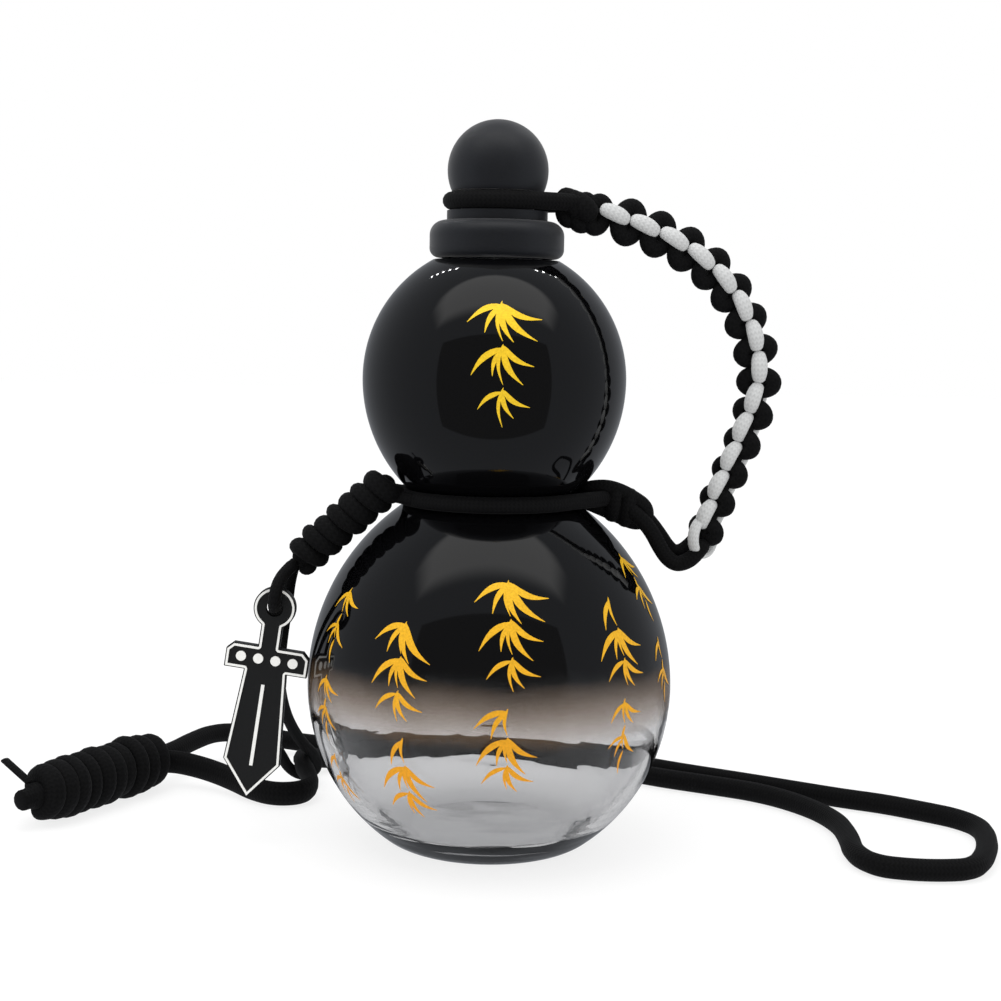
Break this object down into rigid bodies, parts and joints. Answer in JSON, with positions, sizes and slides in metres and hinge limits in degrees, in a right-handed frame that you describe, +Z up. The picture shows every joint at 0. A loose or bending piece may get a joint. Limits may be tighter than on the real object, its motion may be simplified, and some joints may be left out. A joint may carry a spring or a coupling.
{
  "type": "water bottle",
  "caption": "Gourd-shaped glass water bottle with a ball-topped screw cap on a braided cord tether, a hanging sword-shaped charm and a knotted carry strap laid round its base.",
  "frame": {"origin": "on the axis of the bottle, at the plane it stands on", "axes": "+X to the right in the picture (the tether's side), +Y away from the viewer, +Z up along the axis"},
  "size_m": [0.3145, 0.1565, 0.22],
  "materials": {
    "glass": "gloss black coating that fades to clear glass in the lower bulb",
    "cap": "soft-touch matte black",
    "liner": "moulded satin",
    "seal": "silicone, satin",
    "black_cord": "woven polyester cord",
    "white_cord": "woven polyester cord",
    "charm": "soft moulded PVC",
    "charm_line": "soft moulded PVC"
  },
  "bodies": {
    "bottle": {"glass_bottle": "glass", "braid_head": "black_cord", "braid_core": "black_cord", "braid_knots_outer": "black_cord", "braid_knots_inner": "black_cord", "braid_stitch_front": "white_cord", "braid_stitch_back": "white_cord", "braid_end_wrap": "white_cord", "tether_tail_front": "black_cord", "tether_tail_back": "black_cord", "tether_hitch": "black_cord", "waist_cord": "black_cord", "charm_knot": "black_cord", "charm_link": "black_cord", "strap_knot": "black_cord", "strap_short": "black_cord", "strap_long": "black_cord", "strap_stub": "black_cord", "strap_tail": "black_cord"},
    "cap_collar": {"cap_loop": "black_cord"},
    "cap": {"cap_shell": "cap", "cap_liner": "liner", "seal_ring": "seal"},
    "charm": {"charm_plate": "charm", "charm_border": "charm_line", "charm_motif": "charm_line"}
  },
  "joints": [
    {"name": "cap_lift", "type": "slide", "parent": "bottle", "child": "cap_collar", "axis": [0, 0, 1], "range_m": [0, 0.008]},
    {"name": "cap_turn", "type": "hinge", "parent": "cap_collar", "child": "cap", "pos_m": [0, 0, 0.19], "axis": [0, 0, 1], "range_deg": [0, 720]},
    {"name": "charm_swing", "type": "hinge", "parent": "bottle", "child": "charm", "pos_m": [-0.0642, -0.014, 0.0744], "axis": [0, 1, 0], "range_deg": [0, 45]}
  ],
  "couplings": [
    {"joint": "cap_lift", "follows": "cap_turn", "m_per_rad": 0.0006366}
  ]
}
